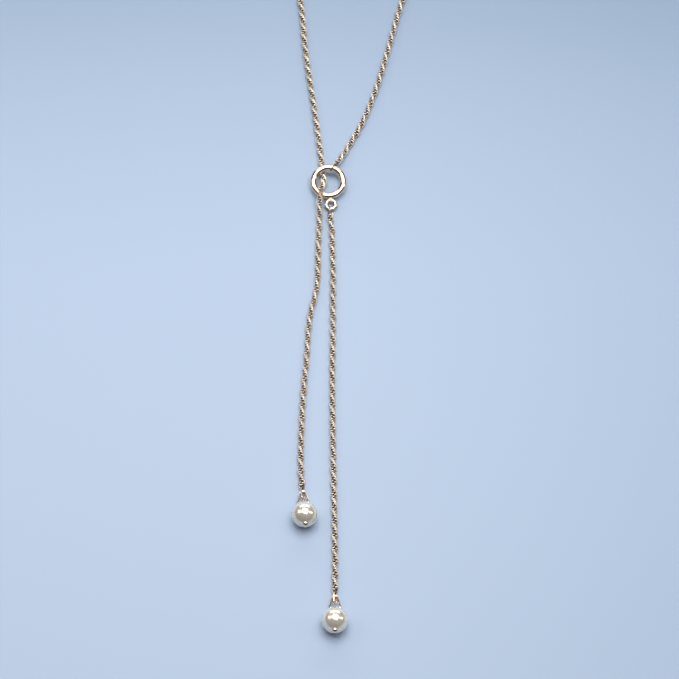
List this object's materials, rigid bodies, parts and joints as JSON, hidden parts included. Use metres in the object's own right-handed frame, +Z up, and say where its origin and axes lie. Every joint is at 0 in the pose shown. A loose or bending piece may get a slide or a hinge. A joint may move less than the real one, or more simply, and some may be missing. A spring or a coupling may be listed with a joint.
{
  "type": "lariat necklace",
  "caption": "Lariat necklace: a twisted link chain runs through a slider ring and ends in a pearl drop on each of two tails.",
  "frame": {"origin": "middle of the box round the lying necklace, on the surface that it rests on", "axes": "+Y from the drops towards the back of the neck, +Z up from the surface, +X to the viewer's right"},
  "size_m": [0.1072, 0.3647, 0.008],
  "materials": {
    "gold": "polished",
    "pearl": "glossy"
  },
  "bodies": {
    "root": {"neck_chain": "gold", "short_tail_chain": "gold", "long_tail_chain": "gold", "slider_ring": "gold", "neck_end_link": "gold", "tail_top_link": "gold", "short_end_link": "gold", "long_end_link": "gold", "short_bail": "gold", "long_bail": "gold", "short_head_pin": "gold", "long_head_pin": "gold", "short_pearl": "pearl", "long_pearl": "pearl"}
  },
  "joints": []
}
